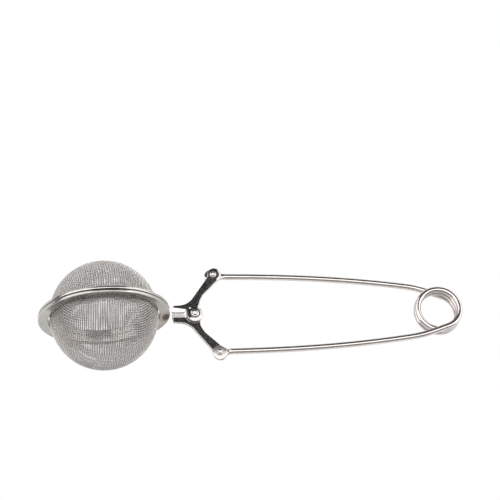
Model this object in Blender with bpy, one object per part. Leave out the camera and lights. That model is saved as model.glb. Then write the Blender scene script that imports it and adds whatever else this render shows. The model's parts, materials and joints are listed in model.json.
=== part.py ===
"""Snap-ball tea infuser with a squeeze spring handle, all stainless steel.

It is modelled in its own frame and laid down as it rests on a table, on the edge of its
rims and on the coil of its spring.
In its own frame the ball's centre is the origin, +X runs along the handle to the coil,
+Y points from the lower bowl to the upper one, and the levers swing about Z.
"""

import math
from collections import namedtuple

import bmesh
import bpy
from mathutils import Matrix, Vector

# ---- driving dimensions, in metres -------------------------------------------------------
MM = 0.001
GAP = 0.3 * MM                  # clear gap between pieces that touch on the real object
HALF_GAP = GAP / 2

MESH_RADIUS = 21.4 * MM         # outside of a woven bowl
MESH_WALL = 0.6 * MM
MESH_FOOT = 0.5 * MM            # how far a bowl's edge stays from the seam
RIM_RADIUS = 25.8 * MM          # outer edge of the flange
RIM_BORE = MESH_RADIUS + GAP
RIM_THICKNESS = 1.1 * MM
RIM_EDGE_RADIUS = 0.4 * MM
COLLAR_RADIUS = MESH_RADIUS - MESH_WALL - GAP
COLLAR_WALL = 0.6 * MM
COLLAR_HEIGHT = 2.5 * MM

PIVOT_X = 35.7 * MM             # ball centre to the levers' pivot
EYE_REACH_X = 8.8 * MM          # pivot to the rivet of a handle leg
EYE_REACH_Y = 16.6 * MM
COIL_X = 134.0 * MM             # ball centre to the middle of the coil
COIL_RADIUS = 8.4 * MM          # to the middle of the wire
WIRE_RADIUS = 1.2 * MM
COIL_PITCH = 2.6 * MM
COIL_ENTRY = math.radians(70)   # where a leg runs into the coil, from +X
WHOLE_TURNS = 2

SHEET = 1.0 * MM                # thickness of the lever sheet
BOSS_RADIUS = 3.3 * MM
HEAD_RADIUS = 3.0 * MM
TAB_HEIGHT = 0.8 * MM
TAB_START = 0.3 * MM            # gap between the rim's edge and a lever's welding tab
TAB_LENGTH = 4.8 * MM
TAB_REACH = 1.6 * MM            # how far a tab passes the middle plane

PIVOT_SHAFT = 1.1 * MM
PIVOT_HEAD = 1.9 * MM
HANDLE_SHAFT = 0.8 * MM
HANDLE_HEAD = 1.5 * MM
HEAD_HEIGHT = 0.7 * MM
HEAD_GAP = 0.2 * MM
SHAFT_CLEARANCE = 0.1 * MM

EYE_RADIUS = 3.0 * MM
EYE_THICKNESS = 0.9 * MM
EYE_NECK = 4.0 * MM             # rivet to where the eye has narrowed to the wire
FLAT_END = 2.8 * MM             # rivet to where the flattened wire starts to thicken
ROUND_START = 6.0 * MM          # rivet to where the wire is round
LOWER_EYE_BORE = HANDLE_SHAFT + SHAFT_CLEARANCE
UPPER_EYE_BORE = 2.1 * MM       # room for the drift of the four-bar handle's open pivot
OPEN_HEAD = 2.6 * MM            # rivet head that covers that hole

LEG_SAG_END = 122.8 * MM        # where the legs' gentle bow hands over to the coil
LEG_SAG = 4.6 * MM
LEG_SAG_POWER = 2.38

ROUND_STEPS = 40
SHAFT_STEPS = 18
WIRE_SIDES = 10
EYE_SECTIONS = 12
LEG_SECTIONS = 12
TURN_SECTIONS = 28

# ---- places worked out from them ---------------------------------------------------------
PIVOT = Vector((PIVOT_X, 0, 0))
UPPER_EYE = PIVOT + Vector((EYE_REACH_X, EYE_REACH_Y, 0))
LOWER_EYE = PIVOT + Vector((EYE_REACH_X, -EYE_REACH_Y, 0))
COIL = Vector((COIL_X, 0, 0))
COIL_SWEEP = 2 * COIL_ENTRY + WHOLE_TURNS * 2 * math.pi
COIL_HALF_DEPTH = COIL_PITCH * COIL_SWEEP / (4 * math.pi)
END_TURN_LEVEL = COIL_HALF_DEPTH - COIL_PITCH * COIL_ENTRY / (2 * math.pi)
TILT = math.asin((RIM_RADIUS - WIRE_RADIUS - END_TURN_LEVEL) / (COIL_X + COIL_RADIUS))
COIL_END = (COIL_X + COIL_RADIUS) * math.cos(TILT) + END_TURN_LEVEL * math.sin(TILT) + WIRE_RADIUS
LENGTH_MIDDLE = (COIL_END - RIM_RADIUS) / 2

Body = namedtuple("Body", "holder origin")


# ---- helpers -----------------------------------------------------------------------------
def steel(name, colour, roughness):
    material = bpy.data.materials.new(name)
    material.use_nodes = True
    shader = material.node_tree.nodes["Principled BSDF"]
    shader.inputs["Base Color"].default_value = (*colour, 1)
    shader.inputs["Metallic"].default_value = 1.0
    shader.inputs["Roughness"].default_value = roughness
    return material


def add_body(name, origin, pose):
    """An empty on a body's joint axis, in the infuser's own frame."""
    holder = bpy.data.objects.new(name, None)
    bpy.context.scene.collection.objects.link(holder)
    holder.parent = pose
    holder.location = origin
    return Body(holder, origin)


def add_object(name, bm, material, body):
    """Link a mesh drawn in the infuser's frame, with its origin on its body's axis."""
    bmesh.ops.translate(bm, verts=bm.verts, vec=-body.origin)
    bmesh.ops.recalc_face_normals(bm, faces=bm.faces)
    mesh = bpy.data.meshes.new(name)
    bm.to_mesh(mesh)
    bm.free()
    mesh.materials.append(material)
    mesh.shade_smooth()
    mesh.set_sharp_from_angle(angle=math.radians(35))
    piece = bpy.data.objects.new(name, mesh)
    bpy.context.scene.collection.objects.link(piece)
    piece.parent = body.holder
    return piece


def boolean(piece, operation, bm, body):
    """Join or cut a piece with a hidden solid on the same body."""
    name = f"{piece.name}_tool_{len(piece.modifiers)}"
    tool = add_object(name, bm, piece.data.materials[0], body)
    tool.hide_render = True
    tool.display_type = "WIRE"
    modifier = piece.modifiers.new(name, "BOOLEAN")
    modifier.operation = operation
    modifier.solver = "EXACT"
    modifier.object = tool


def arc(centre_x, centre_y, radius, start, end, steps):
    """Points of an arc from start to end, in degrees."""
    angles = [math.radians(start + (end - start) * step / steps) for step in range(steps + 1)]
    return [(centre_x + radius * math.cos(a), centre_y + radius * math.sin(a)) for a in angles]


def revolve(profile, steps, axis=Vector((0, 0, 1)), centre=Vector()):
    """Spin a closed section of (radius, height) points about an axis through centre."""
    bm = bmesh.new()
    verts = [bm.verts.new((radius, 0, height)) for radius, height in profile]
    edges = [bm.edges.new((verts[i - 1], verts[i])) for i in range(len(verts))]
    bmesh.ops.spin(bm, geom=verts + edges, cent=(0, 0, 0), axis=(0, 0, 1),
                   angle=2 * math.pi, steps=steps, use_merge=True)
    bmesh.ops.remove_doubles(bm, verts=bm.verts, dist=0.001 * MM)
    turn = Vector((0, 0, 1)).rotation_difference(axis).to_matrix().to_4x4()
    bmesh.ops.transform(bm, verts=bm.verts, matrix=Matrix.Translation(centre) @ turn)
    return bm


def slab(outline, bottom, top):
    """A flat plate: an outline in the XY plane, between two levels of Z."""
    bm = bmesh.new()
    face = bm.faces.new([bm.verts.new((x, y, bottom)) for x, y in outline])
    grown = bmesh.ops.extrude_face_region(bm, geom=[face])["geom"]
    raised = [item for item in grown if isinstance(item, bmesh.types.BMVert)]
    bmesh.ops.translate(bm, verts=raised, vec=(0, 0, top - bottom))
    return bm


def turn_over(bm):
    """Turn the upper piece over about X, which makes it the lower one."""
    bmesh.ops.rotate(bm, verts=bm.verts, cent=(0, 0, 0), matrix=Matrix.Rotation(math.pi, 3, "X"))
    return bm


def tube(path, half_widths, half_heights):
    """Skin a path that runs near the XY plane with ellipses: width in plane, height along Z."""
    bm = bmesh.new()
    rings = []
    last = len(path) - 1
    for index, point in enumerate(path):
        along = (path[min(index + 1, last)] - path[max(index - 1, 0)]).normalized()
        across = Vector((0, 0, 1)).cross(along).normalized()
        up = along.cross(across)
        ring = []
        for side in range(WIRE_SIDES):
            angle = 2 * math.pi * (side + 0.5) / WIRE_SIDES
            offset = across * half_widths[index] * math.cos(angle)
            offset += up * half_heights[index] * math.sin(angle)
            ring.append(bm.verts.new(point + offset))
        rings.append(ring)
    for near, far in zip(rings, rings[1:]):
        for side in range(WIRE_SIDES):
            after = (side + 1) % WIRE_SIDES
            bm.faces.new((near[side], near[after], far[after], far[side]))
    bm.faces.new(rings[0])
    bm.faces.new(rings[-1])
    return bm


# ---- woven bowls, rims and collars --------------------------------------------------------
def bowl_section():
    """A thin quarter circle, from its foot near the seam to the pole and back inside."""
    inner = MESH_RADIUS - MESH_WALL
    outside = [(MESH_RADIUS, MESH_FOOT)] + arc(0, HALF_GAP, MESH_RADIUS, 6, 90, 10)
    inside = arc(0, HALF_GAP, inner, 90, 6, 10) + [(inner, MESH_FOOT)]
    return outside + inside


def rim_section():
    """A flat flange with a rolled outer edge."""
    top = HALF_GAP + RIM_THICKNESS
    corner = RIM_RADIUS - RIM_EDGE_RADIUS
    lower_edge = arc(corner, HALF_GAP + RIM_EDGE_RADIUS, RIM_EDGE_RADIUS, -90, 0, 3)
    upper_edge = arc(corner, top - RIM_EDGE_RADIUS, RIM_EDGE_RADIUS, 0, 90, 3)
    return [(RIM_BORE, HALF_GAP)] + lower_edge + upper_edge + [(RIM_BORE, top)]


def collar_section():
    """A low ring inside the bowl that holds the mesh's edge."""
    bore = COLLAR_RADIUS - COLLAR_WALL
    top = HALF_GAP + COLLAR_HEIGHT
    return [(bore, HALF_GAP), (COLLAR_RADIUS, HALF_GAP), (COLLAR_RADIUS, top), (bore, top)]


def build_ball_half(side, axis, body, metals):
    add_object(f"{side}_mesh_bowl", revolve(bowl_section(), ROUND_STEPS, axis), metals["mesh"], body)
    add_object(f"{side}_rim", revolve(rim_section(), ROUND_STEPS, axis), metals["rim"], body)
    add_object(f"{side}_collar", revolve(collar_section(), ROUND_STEPS, axis), metals["rim"], body)


# ---- levers ------------------------------------------------------------------------------
def lever_outline():
    """The stamped blank, from the prong over the slanted arm and the round head to the boss."""
    prong = [(-8.7, 0.5), (-8.7, 3.1), (-4.9, 3.6), (-3.2, 4.1), (-1.1, 5.6)]
    head = arc(EYE_REACH_X / MM, EYE_REACH_Y / MM, HEAD_RADIUS / MM, 196, -56, 18)
    neck = [(3.7, 7.6), (2.4, 5.5), (2.0, 3.9)]
    boss = arc(0, 0, BOSS_RADIUS / MM, 42, -170, 16)
    points = prong + head + neck + boss + [(-3.9, 0.5)]
    return [(PIVOT_X + x * MM, y * MM) for x, y in points]


def tab_outline():
    """The tab that is folded off the prong and welded to the rim, seen along the pivot."""
    left = RIM_RADIUS + TAB_START
    right = left + TAB_LENGTH
    bottom = HALF_GAP + 0.2 * MM
    top = bottom + TAB_HEIGHT
    return [(left, bottom), (right, bottom), (right, top), (left, top)]


def bore(radius, centre, depth):
    """A cutter along Z that runs well past both faces."""
    section = [(0, -depth), (radius, -depth), (radius, depth), (0, depth)]
    return revolve(section, SHAFT_STEPS, centre=centre)


def build_lever(side, body, metal):
    """Both levers are the same stamping; the lower one is turned over."""
    plate = slab(lever_outline(), HALF_GAP, HALF_GAP + SHEET)
    tab = slab(tab_outline(), -TAB_REACH, HALF_GAP + SHEET - 0.1 * MM)
    pivot_hole = bore(PIVOT_SHAFT + SHAFT_CLEARANCE, PIVOT, 2 * SHEET)
    rivet_hole = bore(HANDLE_SHAFT + SHAFT_CLEARANCE, UPPER_EYE, 2 * SHEET)
    if side == "lower":
        plate = turn_over(plate)
        tab = turn_over(tab)
        pivot_hole = turn_over(pivot_hole)
        rivet_hole = turn_over(rivet_hole)
    lever = add_object(f"{side}_lever", plate, metal, body)
    boolean(lever, "UNION", tab, body)
    boolean(lever, "DIFFERENCE", pivot_hole, body)
    boolean(lever, "DIFFERENCE", rivet_hole, body)


# ---- rivets ------------------------------------------------------------------------------
def rivet(centre, shaft, low_head, high_head, low, high):
    """A shaft with a rounded head below one level and above the other."""
    crown = 0.35 * HEAD_HEIGHT
    low_end = low - HEAD_HEIGHT
    high_end = high + HEAD_HEIGHT
    section = [(0, low_end), (0.7 * low_head, low_end), (low_head, low - crown), (low_head, low),
               (shaft, low), (shaft, high), (high_head, high), (high_head, high + crown),
               (0.7 * high_head, high_end), (0, high_end)]
    return revolve(section, SHAFT_STEPS, centre=centre)


def build_rivets(upper, lower, metal):
    lever_face = HALF_GAP + SHEET + HEAD_GAP
    eye_face = HALF_GAP + EYE_THICKNESS + HEAD_GAP
    pivot = rivet(PIVOT, PIVOT_SHAFT, PIVOT_HEAD, PIVOT_HEAD, -lever_face, lever_face)
    upper_rivet = rivet(UPPER_EYE, HANDLE_SHAFT, OPEN_HEAD, HANDLE_HEAD, -eye_face, lever_face)
    lower_rivet = rivet(LOWER_EYE, HANDLE_SHAFT, HANDLE_HEAD, HANDLE_HEAD, -lever_face, eye_face)
    add_object("pivot_rivet", pivot, metal, lower)
    add_object("upper_handle_rivet", upper_rivet, metal, upper)
    add_object("lower_handle_rivet", lower_rivet, metal, lower)


# ---- spring wire -------------------------------------------------------------------------
def smooth_step(value, start, end):
    t = min(max((value - start) / (end - start), 0), 1)
    return t * t * (3 - 2 * t)


def hermite(start, start_slope, end, end_slope, t):
    """A point on the cubic between start and end with the given end tangents."""
    rest = 1 - t
    return (start * (1 + 2 * t) * rest * rest + start_slope * t * rest * rest
            + end * t * t * (3 - 2 * t) - end_slope * t * t * rest)


def coil_point(sweep):
    """A point of the coil, from the upper leg's entry at the back to the lower leg's in front."""
    angle = COIL_ENTRY - sweep
    level = -COIL_HALF_DEPTH + COIL_PITCH * max(sweep, 0) / (2 * math.pi)
    return COIL + Vector((COIL_RADIUS * math.cos(angle), COIL_RADIUS * math.sin(angle), level))


def leg_half_height(along):
    return EYE_THICKNESS / 2 + (WIRE_RADIUS - EYE_THICKNESS / 2) * smooth_step(along, FLAT_END, ROUND_START)


def leg_half_width(along):
    if along < 0:
        return max(math.sqrt(EYE_RADIUS ** 2 - along ** 2), WIRE_RADIUS / 4)
    return EYE_RADIUS + (WIRE_RADIUS - EYE_RADIUS) * smooth_step(along, 0, EYE_NECK)


def bow_point(along):
    """Middle of the upper leg, counted from its rivet: flush behind the lever, then bowing in."""
    reach = LEG_SAG_END - UPPER_EYE.x
    start_level = -HALF_GAP - leg_half_height(along)
    fall = (COIL_HALF_DEPTH - HALF_GAP - WIRE_RADIUS) / (COIL_X - UPPER_EYE.x)
    sag = LEG_SAG * (max(along, 0) / reach) ** LEG_SAG_POWER
    return UPPER_EYE + Vector((along, -sag, start_level - fall * max(along - ROUND_START, 0)))


def upper_leg():
    """The leg from the tip of its eye to the coil, as a path with half widths and heights."""
    reach = LEG_SAG_END - UPPER_EYE.x
    tip = [-EYE_RADIUS * math.cos(math.pi * (i + 0.3) / (2 * EYE_SECTIONS)) for i in range(EYE_SECTIONS)]
    neck = [ROUND_START * i / EYE_SECTIONS for i in range(EYE_SECTIONS)]
    bow = [ROUND_START + (reach - ROUND_START) * i / LEG_SECTIONS for i in range(LEG_SECTIONS + 1)]
    stations = tip + neck + bow
    path = [bow_point(along) for along in stations]
    clear = GAP / COIL_RADIUS
    start_slope = (path[-1] - path[-2]).normalized()
    end = coil_point(-clear)
    end_slope = (coil_point(0) - end).normalized()
    run = (end - path[-1]).length
    start = path[-1]
    for i in range(1, LEG_SECTIONS + 1):
        path.append(hermite(start, start_slope * run, end, end_slope * run, i / LEG_SECTIONS))
    widths = [leg_half_width(along) for along in stations] + [WIRE_RADIUS] * LEG_SECTIONS
    heights = [leg_half_height(along) for along in stations] + [WIRE_RADIUS] * LEG_SECTIONS
    return tube(path, widths, heights)


def build_leg(side, body, metal):
    """The lower leg is the upper one turned over about X."""
    leg = upper_leg()
    radius = UPPER_EYE_BORE if side == "upper" else LOWER_EYE_BORE
    hole = bore(radius, UPPER_EYE, 2 * SHEET)
    if side == "lower":
        leg = turn_over(leg)
        hole = turn_over(hole)
    piece = add_object(f"{side}_spring_leg", leg, metal, body)
    boolean(piece, "DIFFERENCE", hole, body)


def build_coil(body, metal):
    sections = round(TURN_SECTIONS * COIL_SWEEP / (2 * math.pi))
    clear = GAP / COIL_RADIUS
    sweeps = [(COIL_SWEEP - clear) * i / sections for i in range(sections + 1)]
    path = [coil_point(sweep) for sweep in sweeps]
    sizes = [WIRE_RADIUS] * len(path)
    add_object("spring_coil", tube(path, sizes, sizes), metal, body)


# ---- the whole infuser -------------------------------------------------------------------
def clear_scene():
    for leftover in list(bpy.data.objects):
        bpy.data.objects.remove(leftover, do_unlink=True)


def main():
    clear_scene()
    pose = bpy.data.objects.new("resting_pose", None)
    bpy.context.scene.collection.objects.link(pose)
    pose.rotation_euler = (0, TILT, 0)
    pose.location = (-LENGTH_MIDDLE, 0, RIM_RADIUS)
    lower = add_body("lower_half", Vector(), pose)
    upper = add_body("upper_half", PIVOT, pose)
    lower_handle = add_body("lower_handle", LOWER_EYE, pose)
    upper_handle = add_body("upper_handle", COIL, pose)

    metals = {
        "mesh": steel("woven_steel", (0.55, 0.54, 0.52), 0.4),
        "rim": steel("rim_steel", (0.62, 0.60, 0.57), 0.25),
    }
    lever_metal = steel("lever_steel", (0.30, 0.29, 0.28), 0.3)
    rivet_metal = steel("rivet_steel", (0.60, 0.58, 0.56), 0.3)
    wire_metal = steel("wire_steel", (0.66, 0.63, 0.61), 0.2)

    build_ball_half("lower", Vector((0, -1, 0)), lower, metals)
    build_ball_half("upper", Vector((0, 1, 0)), upper, metals)
    build_lever("lower", lower, lever_metal)
    build_lever("upper", upper, lever_metal)
    build_rivets(upper, lower, rivet_metal)
    build_leg("lower", lower_handle, wire_metal)
    build_coil(lower_handle, wire_metal)
    build_leg("upper", upper_handle, wire_metal)


main()
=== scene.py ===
"""Looks of the snap-ball tea infuser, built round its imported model.

Shapes are drawn in the infuser's own frame, in millimetres: the ball's centre is the
origin, +X runs along the handle to the coil, +Y points from the lower bowl to the upper
one, and the levers swing about Z. LAID_DOWN puts that frame in the scene, where the infuser
lies on the edge of its rims and on the coil of its spring.
"""

import json
import math

import bpy
import numpy as np
from mathutils import Matrix, Vector
from mathutils.geometry import delaunay_2d_cdt


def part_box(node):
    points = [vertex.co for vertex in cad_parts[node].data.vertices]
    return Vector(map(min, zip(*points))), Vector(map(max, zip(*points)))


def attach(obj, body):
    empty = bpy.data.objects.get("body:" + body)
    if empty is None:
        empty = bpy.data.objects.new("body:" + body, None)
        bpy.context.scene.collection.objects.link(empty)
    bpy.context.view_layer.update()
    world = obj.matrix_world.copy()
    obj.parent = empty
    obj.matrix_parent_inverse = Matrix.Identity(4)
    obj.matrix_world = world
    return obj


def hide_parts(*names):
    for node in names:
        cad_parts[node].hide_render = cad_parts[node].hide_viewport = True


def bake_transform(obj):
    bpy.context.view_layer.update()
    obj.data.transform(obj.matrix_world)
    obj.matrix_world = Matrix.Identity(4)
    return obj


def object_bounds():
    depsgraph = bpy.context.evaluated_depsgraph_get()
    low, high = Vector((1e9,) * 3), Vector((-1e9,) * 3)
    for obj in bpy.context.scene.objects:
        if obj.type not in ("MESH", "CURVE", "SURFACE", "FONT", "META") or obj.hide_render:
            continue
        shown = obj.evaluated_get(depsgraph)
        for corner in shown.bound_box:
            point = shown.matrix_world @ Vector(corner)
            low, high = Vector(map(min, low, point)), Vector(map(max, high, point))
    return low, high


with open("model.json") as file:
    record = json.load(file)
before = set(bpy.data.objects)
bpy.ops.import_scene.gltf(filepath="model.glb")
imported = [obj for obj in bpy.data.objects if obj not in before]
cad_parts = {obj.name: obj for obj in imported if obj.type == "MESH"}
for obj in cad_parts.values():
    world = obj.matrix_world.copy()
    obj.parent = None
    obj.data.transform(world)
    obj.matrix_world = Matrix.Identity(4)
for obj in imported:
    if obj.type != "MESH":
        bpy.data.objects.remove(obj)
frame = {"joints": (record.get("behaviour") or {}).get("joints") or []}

MM = 0.001
CAD_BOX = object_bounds()

# ---- the infuser's own frame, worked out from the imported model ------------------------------
JOINTS = {joint["name"]: joint for joint in frame["joints"]}
SWING = -Vector(JOINTS["lever_pivot"]["axis"]).normalized()
ACROSS = Vector((0, 1, 0))
ALONG = ACROSS.cross(SWING)
BALL = (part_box("lower_rim")[0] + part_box("upper_rim")[1]) / 2
TURNED = Matrix((ALONG, ACROSS, SWING)).transposed()
LAID_DOWN = Matrix.Translation(BALL) @ TURNED.to_4x4()


def own_point(spot):
    """A point of the scene, in metres, in the infuser's frame, in millimetres."""
    return LAID_DOWN.inverted() @ Vector(spot) / MM


PIVOT = own_point(JOINTS["lever_pivot"]["pos_m"])
LOWER_EYE = own_point(JOINTS["lower_leg_pivot"]["pos_m"])
UPPER_EYE = Vector((LOWER_EYE.x, -LOWER_EYE.y, 0))
COIL = own_point(JOINTS["coil_winding"]["pos_m"])
EYE_REACH = UPPER_EYE - PIVOT

# ---- sizes, in millimetres ------------------------------------------------------------------
HALF_GAP = 0.15                 # half the seam between the two halves

WEAVE_RADIUS = 21.09            # middle of the woven cloth
WARP_PITCH = 0.475              # between neighbouring wires along the handle
WEFT_STEP = 2                   # wires across the handle lie this many warp pitches apart
WARP_WIRE = 0.09                # radius of a woven wire along the handle
WEFT_WIRE = 0.14                # and of one across it
WARP_LIFT = 0.19                # how far a warp wire swings over and under the cloth's middle
WEFT_LIFT = 0.05                # and a weft wire, which stays nearly straight
WEAVE_FOOT = 0.35               # where the cloth ends, above the bowl's own middle plane
WEAVE_STEPS = 2                 # pieces of a wire from one crossing to the next
WEAVE_SIDES = 6
SHORTEST_WIRE = 3               # points; a wire with fewer isn't made

RIM_RADIUS = 25.8
RIM_TOP = 1.25
RIM_STEPS = 180
RIM_ROLL = 0.24                 # rounding of the rolled edge
RIM_EDGE = (0.55, 0.85)         # levels of the flat along the middle of the edge
RIM_EDGE_STEP = 0.03            # how far that flat stands out past the rounding
BEAD = (25.0, 24.8, 24.6)       # radii where the bead's top ends, slopes down and meets the flange
BEAD_STEPS = (0.06, 0.1)        # how far the slope's middle and the flange lie below the bead
LIP_RADIUS = 22.1               # centre of the rounding round the rim's bore
LIP_ROLL = 0.3
BORE_CHAMFER = 0.1
COLLAR_BORE = 19.9
COLLAR_RADIUS = 20.5
COLLAR_TOP = 2.65

SHEET_BOTTOM = 0.15             # levels of the upper lever's sheet
SHEET_TOP = 1.15
SHEET_ROLL = 0.25               # rounding of the stamped edge
FOLD_Y = 1.0                    # where the welding tab starts to fold down
FOLD_CENTRE_Z = -0.1
COINED_SLOPE = 0.2              # fall of the upper face towards the tab
FOLD_NEUTRAL = 0.7              # radius of the layer that keeps its length in the fold
FOLD_LIMIT_X = -3.8             # the tab lies left of this, counted from the pivot
TAB_DEPTH = 0.6                 # straight part of the tab below its fold
HEAD_RADIUS = 2.8
HEAD_SHIFT = 0.3                # the head's centre lies this far past its rivet
BOSS_RADIUS = 3.3
BOSS_DROP = 0.34                # how far the boss's edge falls below its middle
HEAD_DROP = 0.3
DIMPLE = (-1.75, 2.0)           # centre of the punch mark, counted from the pivot
DIMPLE_DEPTH = 0.12
FILL_PITCH = 0.22

PIN_GAP = 0.02                  # between a rivet head and the sheet
PIVOT_SHAFT = 1.1
HANDLE_SHAFT = 0.8
UPPER_PIN_SHIFT = -0.35         # the upper handle rivet sits off its eye's centre
UPPER_PIN_FOOT = -1.25          # level of its lower head, under the eye
LOWER_PIN_TOP = 1.1             # level of the lower rivet's upper head, on the eye
PIN_SIDES = 48
PEENED_LEAN = 0.3               # slope of the hammered middle of a rivet head

WIRE_RADIUS = 1.2
WIRE_SIDES = 24
COIL_RADIUS = 8.4
COIL_PITCH = 2.6
COIL_ENTRY = math.radians(70)
COIL_SWEEP = 2 * COIL_ENTRY + 4 * math.pi
COIL_HALF_DEPTH = COIL_PITCH * COIL_SWEEP / (4 * math.pi)
EYE_RADIUS = 3.0
UPPER_TIP = 3.6                 # how far the upper eye reaches past its rivet
EYE_HALF_THICKNESS = 0.45
EYE_NECK = 3.6                  # from the rivet to where the eye is as narrow as the wire
FLAT_END = 2.4                  # and to where its flat starts to thicken
ROUND_START = 4.6               # and to where the wire is round
EYE_LEAN = 0.06                 # slope of the stamped eye's open face
EYE_SQUARENESS = 0.2            # how much squarer than round the stamped eye's section is
LEG_SAG = 4.6                   # how far a leg has bowed in at LEG_SAG_END
LEG_SAG_END = 122.8
LEG_SAG_POWER = 2.38
RUN_IN_STEPS = 14               # pieces of wire from the leg's end to the coil


# ---- mesh helpers ---------------------------------------------------------------------------
def add_piece(name, points, faces, material, sharp=40):
    """Link a mesh that is drawn in the infuser's frame, in millimetres."""
    mesh = bpy.data.meshes.new(name)
    laid = np.asarray(points) * MM @ np.array(TURNED).T + np.array(BALL)
    mesh.from_pydata(laid.tolist(), [], faces)
    mesh.validate()
    mesh.materials.append(material)
    mesh.shade_smooth()
    mesh.set_sharp_from_angle(angle=math.radians(sharp))
    piece = bpy.data.objects.new(name, mesh)
    bpy.context.scene.collection.objects.link(piece)
    return piece


def settle(piece, body, slot, *nodes):
    """Let a finished piece ride on its body and stand for its CAD nodes."""
    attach(piece, body)
    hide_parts(*nodes)


def arc(centre_x, centre_y, radius, start, end, steps):
    """Points of an arc from start to end, in degrees."""
    angles = np.radians(np.linspace(start, end, steps + 1))
    return [(centre_x + radius * math.cos(a), centre_y + radius * math.sin(a)) for a in angles]


def skin(rings, first=0):
    """Faces round a row of closed rings with equal counts, with both ends closed."""
    count, sides = len(rings), len(rings[0])
    near = np.arange(sides)
    after = (near + 1) % sides
    faces = []
    for ring in range(count - 1):
        a = first + ring * sides
        b = a + sides
        faces.extend(np.stack((a + near, a + after, b + after, b + near), 1).tolist())
    faces.append((first + near[::-1]).tolist())
    faces.append((first + (count - 1) * sides + near).tolist())
    return faces


def turned_ring(profile, steps, side):
    """A closed section of (radius, height) points, turned about Y. side -1 is the lower half."""
    angles = np.linspace(0, 2 * math.pi, steps, endpoint=False) * side
    radii = np.array([point[0] for point in profile])
    heights = np.array([point[1] for point in profile]) * side
    points = np.empty((steps, len(profile), 3))
    points[:, :, 0] = np.cos(angles)[:, None] * radii
    points[:, :, 1] = heights
    points[:, :, 2] = np.sin(angles)[:, None] * radii
    sides = len(profile)
    faces = []
    for step in range(steps):
        for k in range(sides):
            a, b = step * sides, (step + 1) % steps * sides
            after = (k + 1) % sides
            faces.append((a + k, b + k, b + after, a + after))
    return points.reshape(-1, 3), faces


def turned_pin(profile, steps, centre):
    """An open section of (radius, height) points from the axis back to it, turned about Z."""
    angles = np.linspace(0, 2 * math.pi, steps, endpoint=False)
    around = np.stack((np.cos(angles), np.sin(angles), np.zeros(steps)), 1)
    rings = [around * radius + np.array((0, 0, height)) for radius, height in profile[1:-1]]
    points = np.concatenate(rings + [np.array([(0, 0, profile[0][1]), (0, 0, profile[-1][1])])])
    faces = skin(rings)[:-2]
    low, high = len(rings) * steps, len(rings) * steps + 1
    top = (len(rings) - 1) * steps
    for k in range(steps):
        after = (k + 1) % steps
        faces.append((low, after, k))
        faces.append((high, top + k, top + after))
    return points + np.array(centre), faces


def flipped(points):
    """The same points turned over about X, which makes the upper piece the lower one."""
    return np.asarray(points) * np.array((1, -1, -1))


def smooth_step(value, start, end):
    t = np.clip((value - start) / (end - start), 0, 1)
    return t * t * (3 - 2 * t)


# ---- shader helpers -------------------------------------------------------------------------
def add_node(tree, kind, inputs=None, **settings):
    """A node with its settings, and its inputs set or linked."""
    made = tree.nodes.new(kind)
    for name, value in settings.items():
        setattr(made, name, value)
    for socket, value in (inputs or {}).items():
        if isinstance(value, bpy.types.NodeSocket):
            tree.links.new(value, made.inputs[socket])
        else:
            made.inputs[socket].default_value = value
    return made


def calculate(tree, operation, first, second=0.0):
    return add_node(tree, "ShaderNodeMath", {0: first, 1: second}, operation=operation).outputs[0]


def measure(tree, operation, first, second=(0, 0, 0)):
    """The length, distance or dot product of vectors, as a number."""
    made = add_node(tree, "ShaderNodeVectorMath", {0: first, 1: second}, operation=operation)
    return made.outputs["Value"]


def ramp(tree, value, low, high, to_low=0.0, to_high=1.0, smooth=False):
    """Map value from low..high to to_low..to_high, clamped."""
    kind = "SMOOTHSTEP" if smooth else "LINEAR"
    inputs = {"Value": value, "From Min": low, "From Max": high, "To Min": to_low, "To Max": to_high}
    return add_node(tree, "ShaderNodeMapRange", inputs, interpolation_type=kind).outputs["Result"]


def noise(tree, vector, scale, detail=3.0, rough=0.5):
    inputs = {"Vector": vector, "Scale": scale, "Detail": detail, "Roughness": rough}
    return add_node(tree, "ShaderNodeTexNoise", inputs).outputs["Fac"]


def mix_colour(tree, factor, first, second):
    made = add_node(tree, "ShaderNodeMix", {0: factor}, data_type="RGBA")
    for socket, value in ((6, first), (7, second)):
        if isinstance(value, bpy.types.NodeSocket):
            tree.links.new(value, made.inputs[socket])
        else:
            made.inputs[socket].default_value = (*value, 1)
    return made.outputs[2]


def start_metal(name):
    """A metallic material with its tree, shader and the piece's coordinates in millimetres."""
    material = bpy.data.materials.new(name)
    material.use_nodes = True
    tree = material.node_tree
    shader = tree.nodes["Principled BSDF"]
    shader.inputs["Metallic"].default_value = 1.0
    coordinates = add_node(tree, "ShaderNodeTexCoord")
    own = {0: coordinates.outputs["Object"], 1: BALL, 2: TURNED.to_euler(), 3: (MM, MM, MM)}
    place = add_node(tree, "ShaderNodeMapping", own, vector_type="TEXTURE").outputs[0]
    return material, tree, shader, place


def finish_metal(tree, shader, colour, roughness, height, depth):
    """Link colour, roughness and a bump of depth millimetres."""
    bump = add_node(tree, "ShaderNodeBump", {"Height": height, "Distance": depth * MM, "Strength": 1.0})
    tree.links.new(colour, shader.inputs["Base Color"])
    tree.links.new(roughness, shader.inputs["Roughness"])
    tree.links.new(bump.outputs[0], shader.inputs["Normal"])


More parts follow.
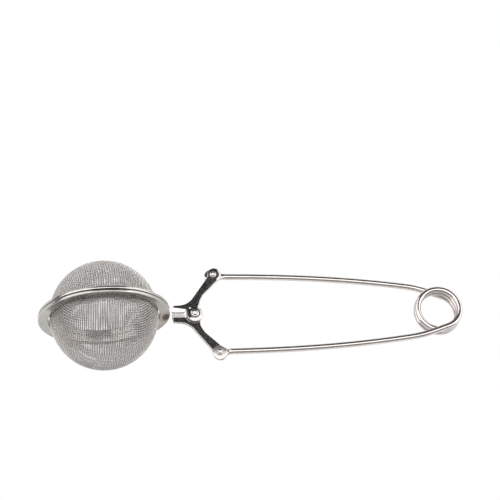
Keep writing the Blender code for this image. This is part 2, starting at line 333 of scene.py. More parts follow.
# ---- materials ------------------------------------------------------------------------------
WOVEN_COLOURS = ((1.0, 0.96, 0.92), (0.88, 0.81, 0.76), (1.12, 1.10, 1.08))
WARP_PAINTED_LIGHT = 0.62                # painted light: the wires along the handle are painted brighter, as if lit, and those across darker, as if in shade
WEFT_PAINTED_SHADE = 0.36
PAINTED_SHADE_SPOT = (24.3, -1.2, 0.4)        # middle of the painted shade where the lever meets the lower rim
PAINTED_SHADE_STRETCH = (1, 1, 2.2)      # the painted shade is longer along the rim's edge
TAB_HIGHLIGHT_X = (-4.2, -3.4)     # from the tab with its painted highlight to the prong without it, from the pivot
TAB_HIGHLIGHT_LOW = (-1.3, -0.8)   # where the painted highlight starts, across the handle
TAB_HIGHLIGHT_HIGH = (1.2, 2.8)    # and where it has faded out


def woven_steel(name, painted_brightness):
    """Fine annealed wire: satin, with faint warm and cool stains and draw marks."""
    material, tree, shader, place = start_metal(name)
    stain = noise(tree, place, 0.12, 2.0)
    speck = noise(tree, place, 6.0, 2.0)
    # painted light: this factor makes lit and shaded copies of one steel, brighter for the warp and darker
    # for the weft
    fresh, warm, bright = ([painted_brightness * part for part in colour] for colour in WOVEN_COLOURS)
    stained = mix_colour(tree, ramp(tree, stain, 0.35, 0.65), fresh, warm)
    colour = mix_colour(tree, ramp(tree, speck, 0.4, 0.7), stained, bright)
    roughness = ramp(tree, speck, 0.3, 0.7, 0.16, 0.28)
    finish_metal(tree, shader, colour, roughness, speck, 0.01)
    return material


def rim_steel():
    """Pressed sheet: turned grain in circles, and dark brown painted shade where the lever meets the lower
    rim.
    """
    material, tree, shader, place = start_metal("rim_steel")
    split = add_node(tree, "ShaderNodeSeparateXYZ", {0: place})
    flat = add_node(tree, "ShaderNodeCombineXYZ", {0: split.outputs[0], 1: split.outputs[2]})
    radius = measure(tree, "LENGTH", flat.outputs[0])
    circles = add_node(tree, "ShaderNodeCombineXYZ", {0: calculate(tree, "MULTIPLY", radius, 9.0)})
    swirl = add_node(tree, "ShaderNodeVectorMath", {0: circles.outputs[0], 1: place}, operation="ADD")
    grain = noise(tree, swirl.outputs[0], 0.55, 4.0, 0.6)
    stain = noise(tree, place, 0.16, 3.0)
    colour = mix_colour(tree, ramp(tree, stain, 0.35, 0.7), (0.51, 0.495, 0.475), (0.41, 0.39, 0.365))
    colour = mix_colour(tree, ramp(tree, grain, 0.35, 0.7, 0.0, 0.5), colour, (0.36, 0.345, 0.33))
    from_shade_spot = add_node(tree, "ShaderNodeMapping", {0: place, 1: PAINTED_SHADE_SPOT, 3: PAINTED_SHADE_STRETCH},
                         vector_type="TEXTURE").outputs[0]
    away = measure(tree, "LENGTH", from_shade_spot)
    ragged = calculate(tree, "ADD", away, calculate(tree, "MULTIPLY", grain, 0.9))
    # painted shade: the rim is painted dark brown round the lever's joint, and nearly black in its middle
    shade_fringe = ramp(tree, ragged, 1.4, 4.2, 0.7, 0.0, smooth=True)
    shade_core = ramp(tree, ragged, 1.3, 2.4, 0.97, 0.0, smooth=True)
    colour = mix_colour(tree, shade_fringe, colour, (0.36, 0.27, 0.19))
    colour = mix_colour(tree, shade_core, colour, (0.05, 0.026, 0.012))
    roughness = ramp(tree, grain, 0.3, 0.7, 0.13, 0.26)
    finish_metal(tree, shader, colour, roughness, grain, 0.006)
    return material


def collar_steel():
    """The clamping band: polished, with a fine even grain."""
    material, tree, shader, place = start_metal("collar_steel")
    grain = noise(tree, place, 3.0, 4.0, 0.6)
    stain = noise(tree, place, 0.2, 2.0)
    colour = mix_colour(tree, ramp(tree, stain, 0.35, 0.7), (0.72, 0.71, 0.69), (0.60, 0.58, 0.56))
    finish_metal(tree, shader, colour, ramp(tree, grain, 0.3, 0.7, 0.12, 0.22), grain, 0.004)
    return material


def lever_steel():
    """Tumbled stamping: mottled and lightly scratched, with a near white painted highlight round the tab."""
    material, tree, shader, place = start_metal("lever_steel")
    mottle = noise(tree, place, 1.6, 4.0, 0.6)
    stretched = add_node(tree, "ShaderNodeMapping", {0: place, "Rotation": (0, 0, 0.9), "Scale": (7, 0.5, 1)})
    scratch = noise(tree, stretched.outputs[0], 1.4, 3.0)
    colour = mix_colour(tree, ramp(tree, mottle, 0.3, 0.7), (0.36, 0.345, 0.33), (0.56, 0.54, 0.52))
    split = add_node(tree, "ShaderNodeSeparateXYZ", {0: place})
    x, y = split.outputs[0], split.outputs[1]
    # painted highlight: the tab and its fold are painted near white
    start, end = TAB_HIGHLIGHT_X
    left = ramp(tree, x, PIVOT.x + start, PIVOT.x + end, 1.0, 0.0, smooth=True)
    tab_highlight = calculate(tree, "MULTIPLY", left, ramp(tree, y, *TAB_HIGHLIGHT_LOW, smooth=True))
    faded = ramp(tree, y, *TAB_HIGHLIGHT_HIGH, 1.0, 0.0, smooth=True)
    tab_highlight = calculate(tree, "MULTIPLY", tab_highlight, faded)
    colour = mix_colour(tree, tab_highlight, colour, (0.93, 0.92, 0.90))
    roughness = ramp(tree, scratch, 0.35, 0.7, 0.10, 0.24)
    height = calculate(tree, "ADD", mottle, calculate(tree, "MULTIPLY", scratch, 0.3))
    finish_metal(tree, shader, colour, roughness, height, 0.008)
    return material


def rivet_steel():
    """Peened rivet ends with hammer marks."""
    material, tree, shader, place = start_metal("rivet_steel")
    marks = add_node(tree, "ShaderNodeTexVoronoi", {"Vector": place, "Scale": 2.2}).outputs["Distance"]
    speck = noise(tree, place, 5.0, 3.0)
    colour = mix_colour(tree, ramp(tree, speck, 0.3, 0.7), (0.62, 0.60, 0.57), (0.46, 0.44, 0.42))
    roughness = ramp(tree, speck, 0.3, 0.7, 0.12, 0.28)
    finish_metal(tree, shader, colour, roughness, marks, 0.04)
    return material


def spring_steel():
    """Hard drawn wire: fine lines along it, a faint warm tone, and a dull lower eye."""
    material, tree, shader, place = start_metal("spring_steel")
    lie = add_node(tree, "ShaderNodeUVMap", uv_map="along_wire").outputs[0]
    drawn = add_node(tree, "ShaderNodeMapping", {0: lie, "Scale": (26, 0.12, 1)})
    line = noise(tree, drawn.outputs[0], 1.0, 3.0, 0.6)
    tone = noise(tree, lie, 0.35, 2.0)
    colour = mix_colour(tree, ramp(tree, line, 0.3, 0.7), (0.66, 0.62, 0.60), (0.54, 0.50, 0.48))
    colour = mix_colour(tree, ramp(tree, tone, 0.4, 0.7, 0.0, 0.5), colour, (0.55, 0.50, 0.47))
    polished = ramp(tree, line, 0.3, 0.7, 0.10, 0.20)
    from_eye = measure(tree, "DISTANCE", place, LOWER_EYE)
    roughness = calculate(tree, "MAXIMUM", polished, ramp(tree, from_eye, 3.2, 5.0, 0.32, 0.0))
    finish_metal(tree, shader, colour, roughness, line, 0.006)
    return material


# ---- woven bowls ----------------------------------------------------------------------------
def net_quarter(count, step):
    """A quarter of a square net laid over the unit sphere from its pole at +Y.

    Each next knot is the mirror image of the one before it across the line through its two
    neighbours, so that every side of every mesh keeps its length, as in draped cloth.
    """
    knots = np.zeros((count + 1, count + 1, 3))
    angles = np.arange(count + 1) * step
    knots[:, 0] = np.stack((np.sin(angles), np.cos(angles), 0 * angles), 1)
    knots[0, :] = np.stack((0 * angles, np.cos(angles), np.sin(angles)), 1)
    for i in range(1, count + 1):
        for j in range(1, count + 1):
            plane = np.cross(knots[i - 1, j], knots[i, j - 1])
            size = np.linalg.norm(plane)
            if size < 1e-4:
                knots[i, j] = knots[i - 1, j]
                continue
            plane /= size
            before = knots[i - 1, j - 1]
            knots[i, j] = before - 2 * (before @ plane) * plane
    return knots


def net_line(quarter, line, along_x):
    """The knots of one wire, from the seam over the bowl to the seam again."""
    half = quarter[:, abs(line)] if along_x else quarter[abs(line), :]
    half = half.copy()
    mirrored = half[:0:-1].copy()
    run, offset = (0, 2) if along_x else (2, 0)
    mirrored[:, run] *= -1
    whole = np.concatenate((mirrored, half))
    if line < 0:
        whole[:, offset] *= -1
    return whole


def woven_wire(knots, line, along_x):
    """The middle line of one wire, over and under the wires that it crosses."""
    count = len(knots) // 2
    spots = np.arange((len(knots) - 1) * WEAVE_STEPS + 1) / WEAVE_STEPS
    low = np.minimum(spots.astype(int), len(knots) - 2)
    share = (spots - low)[:, None]
    path = knots[low] * (1 - share) + knots[low + 1] * share
    path /= np.linalg.norm(path, axis=1)[:, None]
    from_pole = spots - count
    if along_x:
        lift = np.cos(math.pi * (from_pole / WEFT_STEP + line))
    else:
        lift = -np.cos(math.pi * (from_pole + line / WEFT_STEP))
    kept = path[:, 1] * WEAVE_RADIUS > WEAVE_FOOT
    middle = count * WEAVE_STEPS
    below = np.flatnonzero(~kept)
    first = below[below < middle].max(initial=-1) + 1
    last = below[below > middle].min(initial=len(kept))
    swing = WARP_LIFT if along_x else WEFT_LIFT
    return path[first:last], (WEAVE_RADIUS + swing * lift)[first:last]


def wire_rings(path, radii, sides, thickness):
    """Round rings along a path on a sphere, each with one side facing outwards."""
    points = path * radii[:, None]
    ahead = np.gradient(points, axis=0)
    ahead /= np.linalg.norm(ahead, axis=1)[:, None]
    aside = np.cross(ahead, path)
    aside /= np.linalg.norm(aside, axis=1)[:, None]
    out = np.cross(aside, ahead)
    turn = 2 * math.pi * np.arange(sides) / sides
    offsets = aside[:, None] * np.cos(turn)[:, None] + out[:, None] * np.sin(turn)[:, None]
    return points[:, None] + thickness * offsets


def weave(side, along_x, material):
    """All wires of one direction in one bowl."""
    step = 2 * math.asin(WARP_PITCH / WEAVE_RADIUS / 2)
    count = math.ceil(math.pi / 2 / step) + 1
    quarter = net_quarter(count, step)
    lines = [line for line in range(-count, count + 1)
             if math.cos(line * step) * WEAVE_RADIUS > WEAVE_FOOT and (along_x or line % WEFT_STEP == 0)]
    points, faces, total = [], [], 0
    for line in lines:
        path, radii = woven_wire(net_line(quarter, line, along_x), line, along_x)
        if len(path) < SHORTEST_WIRE:
            continue
        rings = wire_rings(path, radii, WEAVE_SIDES, WARP_WIRE if along_x else WEFT_WIRE)
        faces += skin(rings, total)
        points.append(rings.reshape(-1, 3))
        total += len(points[-1])
    points = np.concatenate(points) + np.array((0, HALF_GAP, 0))
    half = "upper" if side > 0 else "lower"
    direction = "warp" if along_x else "weft"
    if side < 0:
        points = flipped(points)
    piece = add_piece(f"{half}_mesh_{direction}", points, faces, material, sharp=80)
    settle(piece, f"{half}_half", "mesh", f"{half}_mesh_bowl")


# ---- rims and collars -----------------------------------------------------------------------
def rim_section():
    """Flat flange with a rolled outer bead that stands a little proud, and a rounded bore."""
    centre = RIM_RADIUS - RIM_EDGE_STEP - RIM_ROLL
    slope, flange = (RIM_TOP - step for step in BEAD_STEPS)
    low = arc(centre, HALF_GAP + RIM_ROLL, RIM_ROLL, -90, 0, 6)
    edge = [(RIM_RADIUS, level) for level in RIM_EDGE]
    high = arc(centre, RIM_TOP - RIM_ROLL, RIM_ROLL, 0, 90, 6)
    face = list(zip(BEAD, (RIM_TOP, slope, flange))) + [(LIP_RADIUS + LIP_ROLL, flange)]
    lip = arc(LIP_RADIUS, flange - LIP_ROLL, LIP_ROLL, 90, 180, 6)
    bore = LIP_RADIUS - LIP_ROLL
    chamfer = [(bore, HALF_GAP + BORE_CHAMFER), (bore + BORE_CHAMFER, HALF_GAP)]
    return low + edge + high + face + lip + chamfer


def collar_section():
    """A thin band with a rounded free edge."""
    middle = (COLLAR_BORE + COLLAR_RADIUS) / 2
    half = (COLLAR_RADIUS - COLLAR_BORE) / 2
    edge = arc(middle, COLLAR_TOP - half, half, 0, 180, 8)
    return [(COLLAR_RADIUS, HALF_GAP)] + edge + [(COLLAR_BORE, HALF_GAP)]


def build_rims(side, rim_metal, collar_metal):
    half = "upper" if side > 0 else "lower"
    rim = add_piece(f"{half}_rolled_rim", *turned_ring(rim_section(), RIM_STEPS, side), rim_metal)
    settle(rim, f"{half}_half", "rim", f"{half}_rim")
    collar = add_piece(f"{half}_inner_collar", *turned_ring(collar_section(), RIM_STEPS, side), collar_metal)
    settle(collar, f"{half}_half", "rim", f"{half}_collar")


# ---- levers ---------------------------------------------------------------------------------
def lever_blank():
    """The flat blank of a lever before its tab is folded, counted from the pivot."""
    tab_end = FOLD_Y - FOLD_NEUTRAL * math.pi / 2 - TAB_DEPTH
    prong = [(-8.9, tab_end), (-8.9, 1.6), (-8.4, 2.3), (-8.6, 3.3), (-4.9, 3.6), (-3.2, 4.1), (-1.1, 5.6)]
    head = arc(EYE_REACH.x + HEAD_SHIFT, EYE_REACH.y, HEAD_RADIUS, 196, -62, 40)
    neck = [(3.8, 7.6), (2.6, 5.5), (2.1, 3.9)]
    boss = arc(0, 0, BOSS_RADIUS, 42, -168, 36)
    notch = [(-3.3, 1.3), (-3.9, 1.2), (-4.1, tab_end)]
    return prong + head + neck + boss + notch


def soften(outline, reach):
    """Cut each corner of a closed outline, at most reach along either side of it."""
    points = np.array(outline)
    softer = []
    for before, corner, after in zip(np.roll(points, 1, 0), points, np.roll(points, -1, 0)):
        for other in (before, after):
            side = other - corner
            length = np.linalg.norm(side)
            softer.append(corner + side * min(1 / 3, reach / length))
    return np.array(softer)


def inset(outline, distance):
    """Move each point of a clockwise outline inwards."""
    back = outline - np.roll(outline, 1, 0)
    ahead = np.roll(outline, -1, 0) - outline
    normals = []
    for edge in (back, ahead):
        inward = np.stack((edge[:, 1], -edge[:, 0]), 1)
        normals.append(inward / np.linalg.norm(inward, axis=1)[:, None])
    first, second = normals
    scale = 1 + np.sum(first * second, 1)
    return outline + distance * (first + second) / np.maximum(scale, 0.4)[:, None]


def fill(boundary):
    """Points inside a closed outline on a fine grid, and the triangles that fill it."""
    low, high = boundary.min(0), boundary.max(0)
    grid = np.stack(np.meshgrid(np.arange(low[0], high[0], FILL_PITCH),
                                np.arange(low[1], high[1], FILL_PITCH)), 2).reshape(-1, 2)
    far = np.array([np.min(np.sum((boundary - spot) ** 2, 1)) for spot in grid]) > (0.6 * FILL_PITCH) ** 2
    spots = [Vector(spot) for spot in np.concatenate((boundary, grid[far]))]
    loop = list(range(len(boundary)))
    result = delaunay_2d_cdt(spots, [], [loop], 1, 1e-6)
    points, triangles, sources = result[0], result[2], result[3]
    used = sorted({index for face in triangles for index in face})
    inside = [index for index in used if min(sources[index]) >= len(boundary)]
    number = {index: len(boundary) + k for k, index in enumerate(inside)}
    for index in used:
        number.setdefault(index, min(sources[index]))
    faces = [[number[index] for index in face] for face in triangles]
    return np.array([points[index][:] for index in inside]), faces


def lever_relief(x, y):
    """Change of height of the upper face: pressed boss and head, coined prong and punch mark."""
    angle = np.degrees(np.arctan2(y, x))
    free = smooth_step(angle, 70, 40) * smooth_step(angle, -140, -105)
    boss = -BOSS_DROP * smooth_step(np.hypot(x, y), 1.9, BOSS_RADIUS) * free
    head_x, head_y = x - EYE_REACH.x, y - EYE_REACH.y
    angle = np.degrees(np.arctan2(head_y, head_x))
    free = smooth_step(angle, -75, -45) * smooth_step(angle, 60, 30)
    head = -HEAD_DROP * smooth_step(np.hypot(head_x, head_y), 2.1, 3.0) * free
    start = np.interp(x, (-8.5, -4.0), (2.5, 1.7))
    coined = -COINED_SLOPE * np.clip(start - y, 0, 2.0) * smooth_step(x, -3.0, -4.0)
    dimple = -DIMPLE_DEPTH * smooth_step(np.hypot(x - DIMPLE[0], y - DIMPLE[1]), 0.5, 0.1)
    return boss + head + coined + dimple


def folded(points):
    """Fold the tab down about the prong's inner edge."""
    x, y, z = points.T.copy()
    past = np.where(x < FOLD_LIMIT_X, FOLD_Y - y, 0)
    bent = past > 0
    angle = np.minimum(past / FOLD_NEUTRAL, math.pi / 2)
    straight = np.maximum(past - FOLD_NEUTRAL * math.pi / 2, 0)
    radius = z - FOLD_CENTRE_Z
    new_y = FOLD_Y - radius * np.sin(angle)
    new_z = FOLD_CENTRE_Z + radius * np.cos(angle) - straight
    return np.stack((x, np.where(bent, new_y, y), np.where(bent, new_z, z)), 1)


def lever_mesh():
    """The stamping with rolled edges, its relief pressed in and its tab folded."""
    outline = lever_blank()
    for reach in (0.4, 0.2):
        outline = soften(outline, reach)
    rounding = np.radians(np.linspace(0, 90, 5))
    insets = SHEET_ROLL * (1 - np.sin(rounding))
    drops = SHEET_ROLL * (1 - np.cos(rounding))
    levels = [(inset_by, SHEET_TOP - drop) for inset_by, drop in zip(insets, drops)]
    levels += [(inset_by, SHEET_BOTTOM + drop) for inset_by, drop in zip(insets[::-1], drops[::-1])]
    rings = []
    for inset_by, level in levels:
        ring = inset(outline, inset_by)
        rings.append(np.column_stack((ring, np.full(len(ring), level))))
    inside, triangles = fill(rings[0][:, :2])
    rim_points = np.concatenate(rings)
    count, rim_count = len(outline), len(rim_points)
    faces = skin(rings)[:-2]
    for offset, start in ((0, rim_count), (rim_count - count, rim_count + len(inside))):
        cover = [[index + offset if index < count else index - count + start for index in face]
                 for face in triangles]
        faces += cover if offset == 0 else [face[::-1] for face in cover]
    top = np.column_stack((inside, np.full(len(inside), SHEET_TOP)))
    bottom = np.column_stack((inside, np.full(len(inside), SHEET_BOTTOM)))
    points = np.concatenate((rim_points, top, bottom))
    raised = points[:, 2] > (SHEET_TOP + SHEET_BOTTOM) / 2
    points[raised, 2] += lever_relief(points[raised, 0], points[raised, 1])
    return folded(points) + np.array(PIVOT), faces


def build_levers(material):
    points, faces = lever_mesh()
    upper = add_piece("upper_lever_stamping", points, faces, material, sharp=50)
    settle(upper, "upper_half", "lever", "upper_lever")
    lower = add_piece("lower_lever_stamping", flipped(points), faces, material, sharp=50)
    settle(lower, "lower_half", "lever", "lower_lever")


# ---- rivets ---------------------------------------------------------------------------------
def head_profile(radius, height):
    """A peened head from its rim to its middle."""
    return [(radius, 0), (0.99 * radius, 0.35 * height), (0.90 * radius, 0.70 * height),
            (0.76 * radius, 0.93 * height), (0.60 * radius, 1.02 * height), (0.40 * radius, 1.07 * height),
            (0.2 * radius, 1.09 * height), (0, 1.1 * height)]


def rivet(name, centre, shaft, low_head, high_head, height, body, material):
    """A shaft between two heads, each given by its level and its radius."""
    low, low_radius = low_head
    high, high_radius = high_head
    profile = [(radius, low - rise) for radius, rise in head_profile(low_radius, 0.8 * height)[::-1]]
    profile += [(shaft, low), (shaft, high)]
    profile += [(radius, high + rise) for radius, rise in head_profile(high_radius, height)]
    points, faces = turned_pin(profile, PIN_SIDES, centre)
    aside = points[:, 1] - centre[1]
    from_middle = np.hypot(points[:, 0] - centre[0], aside)
    crown = smooth_step(from_middle, 0.55 * high_radius, 0.3 * high_radius) * (points[:, 2] > high)
    points[:, 2] += PEENED_LEAN * aside * crown
    piece = add_piece(name, points, faces, material, sharp=55)
    settle(piece, body, "rivet", name.replace("_pin", "_rivet"))


def build_rivets(material):
    face = SHEET_TOP + PIN_GAP
    upper_centre = UPPER_EYE + Vector((UPPER_PIN_SHIFT, 0, 0))
    rivet("pivot_pin", PIVOT, PIVOT_SHAFT, (-face, 1.7), (face, 1.7), 0.6, "lower_half", material)
    rivet("upper_handle_pin", upper_centre, HANDLE_SHAFT,
          (UPPER_PIN_FOOT, 1.9), (face, 1.35), 0.5, "upper_half", material)
    rivet("lower_handle_pin", LOWER_EYE, HANDLE_SHAFT,
          (-face, 1.5), (LOWER_PIN_TOP, 1.25), 0.5, "lower_half", material)


# ---- spring wire ----------------------------------------------------------------------------
def coil_point(sweep):
    """A point of the coil, from the upper leg's entry at the back to the lower leg's in front."""
    angle = COIL_ENTRY - sweep
    level = -COIL_HALF_DEPTH + COIL_PITCH * sweep / (2 * math.pi)
    return np.array(COIL) + np.array((COIL_RADIUS * math.cos(angle), COIL_RADIUS * math.sin(angle), level))


def half_height(along):
    return EYE_HALF_THICKNESS + (WIRE_RADIUS - EYE_HALF_THICKNESS) * smooth_step(along, FLAT_END, ROUND_START)


def half_width(along, reach):
    """Half the wire's width; the eye's tip lies reach before its rivet."""
    tip = EYE_RADIUS * np.sqrt(np.maximum(1 - (np.minimum(along, 0) / reach) ** 2, 0.001))
    neck = EYE_RADIUS + (WIRE_RADIUS - EYE_RADIUS) * smooth_step(along, 0, EYE_NECK)
    return np.where(along < 0, tip, neck)


def bow_point(along):
    """Middle of the upper leg, counted from its rivet: flush behind the lever, then bowing in."""
    reach = LEG_SAG_END - UPPER_EYE.x
    fall = (COIL_HALF_DEPTH - HALF_GAP - WIRE_RADIUS) / (COIL.x - UPPER_EYE.x)
    sag = LEG_SAG * (max(along, 0) / reach) ** LEG_SAG_POWER
    level = -HALF_GAP - half_height(along) - fall * max(along - ROUND_START, 0)
    return np.array(UPPER_EYE) + np.array((along, -sag, level))


def run_in(start, start_slope, end, end_slope, steps):
    """Points after start up to end on the cubic with the given end tangents."""
    made = []
    for t in np.arange(1, steps + 1) / steps:
        rest = 1 - t
        made.append(start * (1 + 2 * t) * rest * rest + start_slope * t * rest * rest
                    + end * t * t * (3 - 2 * t) - end_slope * t * t * rest)
    return made


def leg_path(tip_reach):
    """Path of the upper leg from the tip of its eye to the coil, with half widths and heights."""
    reach = LEG_SAG_END - UPPER_EYE.x
    tip = -tip_reach * np.cos(np.linspace(0.03, math.pi / 2, 16, endpoint=False))
    neck = np.linspace(0, ROUND_START, 20, endpoint=False)
    bow = np.linspace(ROUND_START, reach, 60)
    stations = np.concatenate((tip, neck, bow))
    path = [bow_point(along) for along in stations]
    end = coil_point(0)
    start_slope = (path[-1] - path[-2]) / np.linalg.norm(path[-1] - path[-2])
    end_slope = coil_point(0.01) - end
    end_slope /= np.linalg.norm(end_slope)
    run = np.linalg.norm(end - path[-1])
    path += run_in(path[-1], start_slope * run, end, end_slope * run, RUN_IN_STEPS)
    widths = np.concatenate((half_width(stations, tip_reach), np.full(RUN_IN_STEPS, WIRE_RADIUS)))
    heights = np.concatenate((half_height(stations), np.full(RUN_IN_STEPS, WIRE_RADIUS)))
    return np.array(path), widths, heights


def build_spring(material):
    """One wire: the upper leg, nearly two and a half turns of coil, and the lower leg."""
    leg, leg_widths, leg_heights = leg_path(UPPER_TIP)
    lower, lower_widths, lower_heights = leg_path(EYE_RADIUS)
    turns = np.array([coil_point(sweep) for sweep in np.linspace(0, COIL_SWEEP, 150)[1:-1]])
    path = np.concatenate((leg, turns, flipped(lower)[::-1]))
    full = np.full(len(turns), WIRE_RADIUS)
    widths = np.concatenate((leg_widths, full, lower_widths[::-1]))
    heights = np.concatenate((leg_heights, full, lower_heights[::-1]))
    ahead = np.gradient(path, axis=0)
    ahead /= np.linalg.norm(ahead, axis=1)[:, None]
    across = np.cross((0, 0, 1), ahead)
    across /= np.linalg.norm(across, axis=1)[:, None]
    up = np.cross(ahead, across)
    turn = 2 * math.pi * (np.arange(WIRE_SIDES) + 0.5) / WIRE_SIDES
    flatness = smooth_step(heights, WIRE_RADIUS, EYE_HALF_THICKNESS)[:, None]
    power = 1 - EYE_SQUARENESS * flatness
    cosine, sine = np.cos(turn)[None], np.sin(turn)[None]
    side = np.sign(cosine) * np.abs(cosine) ** power * widths[:, None]
    lift = np.sign(sine) * np.abs(sine) ** power * heights[:, None]
    upper_end = (np.arange(len(path)) < len(path) / 2)[:, None]
    open_face = np.where(upper_end, sine < 0, sine > 0)
    lift = lift + EYE_LEAN * flatness * side * across[:, 1:2] * open_face * np.abs(sine)
    rings = path[:, None] + side[:, :, None] * across[:, None] + lift[:, :, None] * up[:, None]
    wire = add_piece("spring_wire", rings.reshape(-1, 3), skin(rings), material, sharp=60)

    lengths = np.concatenate(([0], np.cumsum(np.linalg.norm(np.diff(path, axis=0), axis=1))))
    layer = wire.data.uv_layers.new(name="along_wire")
    for face in wire.data.polygons:
        if len(face.vertices) != 4:
            continue
        seam = {v % WIRE_SIDES for v in face.vertices} == {0, WIRE_SIDES - 1}
        for loop in face.loop_indices:
            vertex = wire.data.loops[loop].vertex_index
            around = vertex % WIRE_SIDES
            if seam and around == 0:
                around = WIRE_SIDES
            layer.data[loop].uv = (around / WIRE_SIDES, lengths[vertex // WIRE_SIDES])

    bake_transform(wire)
    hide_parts("lower_spring_leg", "spring_coil", "upper_spring_leg")


# ---- camera, floor and light ----------------------------------------------------------------
CAMERA_AZIMUTH = math.radians(-4.777)
CAMERA_ELEVATION = math.radians(65.15)
CAMERA_DISTANCE = 1.0
CAMERA_ASIDE = 0.05697          # from the ball's centre to the middle of the view
CAMERA_ABOVE = 0.02561
CAMERA_LENS = 184.5

FLOOR_REACH = 1.5
FLOOR_COLOUR = (0.82, 0.82, 0.82)
FLOOR_GLOW = 0.2                # light of its own, which fills the undersides

# panels of the studio, turned with the infuser's frame
TOP_PANEL = ((-0.75, 0.95), (-0.42, 0.30))      # its reach along and across, over its height
TOP_LEVEL = 2.6
SIDE_PANEL = ((-0.35, 1.0), (0.12, 0.98))       # its bearing and its rise, in radians
SIDE_LEVEL = 2.2
SIDE_MIDDLE = 0.2               # the side panels stay clear of this x, by SIDE_CLEAR
SIDE_CLEAR = (0.28, 0.4)
ROOM = (0.5, 0.2)               # light of the room on the lower bowl's side and the upper one's
DARK_PATCH = Vector((0.18, 0.42, 0.89)).normalized()
DARK_EDGE = (0.955, 0.99)       # cosines of the angles where the patch starts and is full
DARK_LEVEL = 0.12


def build_camera():
    a, e = CAMERA_AZIMUTH, CAMERA_ELEVATION
    right = Vector((math.cos(a), math.sin(a), 0))
    back = Vector((math.sin(a) * math.cos(e), -math.cos(a) * math.cos(e), math.sin(e)))
    up = back.cross(right)
    camera = bpy.data.objects.new("camera", bpy.data.cameras.new("camera"))
    bpy.context.scene.collection.objects.link(camera)
    camera.data.lens = CAMERA_LENS
    place = BALL + right * CAMERA_ASIDE + up * CAMERA_ABOVE + back * CAMERA_DISTANCE
    camera.matrix_world = Matrix.Translation(place) @ Matrix((right, up, back)).transposed().to_4x4()
    bpy.context.scene.camera = camera


def build_floor():
    """A wide sheet of matt paper, which the camera sees as plain white."""
    low = CAD_BOX[0].z
    mesh = bpy.data.meshes.new("floor")
    signs = ((-1, -1), (1, -1), (1, 1), (-1, 1))
    corners = [(FLOOR_REACH * x, FLOOR_REACH * y, low) for x, y in signs]
    mesh.from_pydata(corners, [], [(0, 1, 2, 3)])
    floor = bpy.data.objects.new("floor", mesh)
    bpy.context.scene.collection.objects.link(floor)
    material = bpy.data.materials.new("floor_paper")
    material.use_nodes = True
    shader = material.node_tree.nodes["Principled BSDF"]
    shader.inputs["Base Color"].default_value = (*FLOOR_COLOUR, 1)
    shader.inputs["Roughness"].default_value = 1.0
    shader.inputs["Specular IOR Level"].default_value = 0.0
    shader.inputs["Emission Color"].default_value = (1.0, 1.0, 1.0, 1)
    shader.inputs["Emission Strength"].default_value = FLOOR_GLOW
    tree = material.node_tree
    seen = add_node(tree, "ShaderNodeLightPath").outputs["Is Camera Ray"]
    lit = add_node(tree, "ShaderNodeEmission", {"Strength": 1.0})
    mixed = add_node(tree, "ShaderNodeMixShader", {0: seen, 1: shader.outputs[0], 2: lit.outputs[0]})
    tree.links.new(mixed.outputs[0], tree.nodes["Material Output"].inputs["Surface"])
    mesh.materials.append(material)


def softbox(tree, first, second, first_range, second_range, edge):
    """1 where both slopes lie inside their ranges, fading over edge."""
    inside = None
    for value, (low, high) in ((first, first_range), (second, second_range)):
        rising = ramp(tree, value, low - edge, low + edge, smooth=True)
        falling = ramp(tree, value, high - edge, high + edge, 1.0, 0.0, smooth=True)
        both = calculate(tree, "MULTIPLY", rising, falling)
        inside = both if inside is None else calculate(tree, "MULTIPLY", inside, both)
    return inside


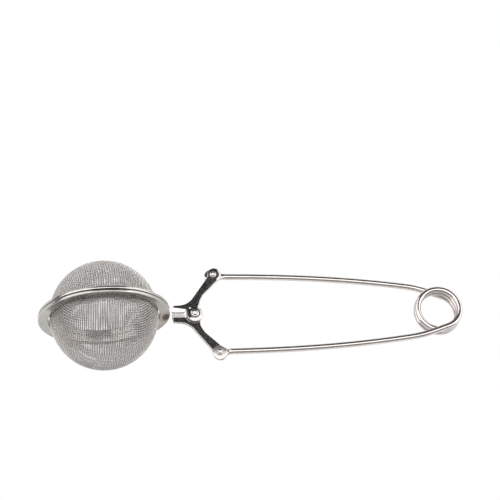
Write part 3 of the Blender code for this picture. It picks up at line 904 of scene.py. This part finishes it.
def build_light():
    """A tent with soft panels overhead, left and right, and a dark patch; white to the camera."""
    world = bpy.data.worlds.new("studio")
    bpy.context.scene.world = world
    world.use_nodes = True
    tree = world.node_tree
    tree.nodes.clear()
    ray = add_node(tree, "ShaderNodeTexCoord").outputs["Generated"]
    turn = add_node(tree, "ShaderNodeVectorRotate",
                    {"Vector": ray, "Angle": -SWING.angle(Vector((0, 0, 1))), "Axis": (0, 1, 0)},
                    rotation_type="AXIS_ANGLE")
    split = add_node(tree, "ShaderNodeSeparateXYZ", {0: turn.outputs[0]})
    x, y, z = split.outputs
    above = calculate(tree, "MAXIMUM", z, 0.02)
    slope_x = calculate(tree, "DIVIDE", x, above)
    slope_y = calculate(tree, "DIVIDE", y, above)
    top = softbox(tree, slope_x, slope_y, *TOP_PANEL, 0.08)
    rise = calculate(tree, "ARCSINE", z)
    bearing = calculate(tree, "ARCTAN2", y, calculate(tree, "ABSOLUTE", x))
    sides = softbox(tree, bearing, rise, *SIDE_PANEL, 0.06)
    apart = calculate(tree, "ABSOLUTE", calculate(tree, "SUBTRACT", x, SIDE_MIDDLE))
    sides = calculate(tree, "MULTIPLY", sides, ramp(tree, apart, *SIDE_CLEAR, smooth=True))
    room = ramp(tree, y, -0.9, 0.6, *ROOM)
    level = calculate(tree, "MULTIPLY", ramp(tree, rise, 0.0, 0.12, 0.4, 1.0), room)
    level = calculate(tree, "ADD", level, calculate(tree, "MULTIPLY", top, TOP_LEVEL))
    level = calculate(tree, "ADD", level, calculate(tree, "MULTIPLY", sides, SIDE_LEVEL))
    patch = measure(tree, "DOT_PRODUCT", turn.outputs[0], DARK_PATCH)
    shade = ramp(tree, patch, *DARK_EDGE, 1.0, DARK_LEVEL, smooth=True)
    level = calculate(tree, "MULTIPLY", level, shade)
    studio = add_node(tree, "ShaderNodeBackground", {1: level})
    pale = add_node(tree, "ShaderNodeBackground", {0: (1.0, 1.0, 1.0, 1), 1: 1.0})
    seen = add_node(tree, "ShaderNodeLightPath").outputs["Is Camera Ray"]
    mixed = add_node(tree, "ShaderNodeMixShader", {0: seen, 1: studio.outputs[0], 2: pale.outputs[0]})
    add_node(tree, "ShaderNodeOutputWorld", {0: mixed.outputs[0]})
    bpy.context.scene.view_settings.view_transform = "Standard"


def main():
    # the warp and weft steels are one steel, painted lit and painted shaded
    warp_painted_light_metal = woven_steel("warp_steel_painted_light", WARP_PAINTED_LIGHT)
    weft_painted_shade_metal = woven_steel("weft_steel_painted_shade", WEFT_PAINTED_SHADE)
    rim_metal = rim_steel()
    collar_metal = collar_steel()
    for side in (1, -1):
        weave(side, True, warp_painted_light_metal)
        weave(side, False, weft_painted_shade_metal)
        build_rims(side, rim_metal, collar_metal)
    build_levers(lever_steel())
    build_rivets(rivet_steel())
    build_spring(spring_steel())
    build_camera()
    build_floor()
    build_light()


main()
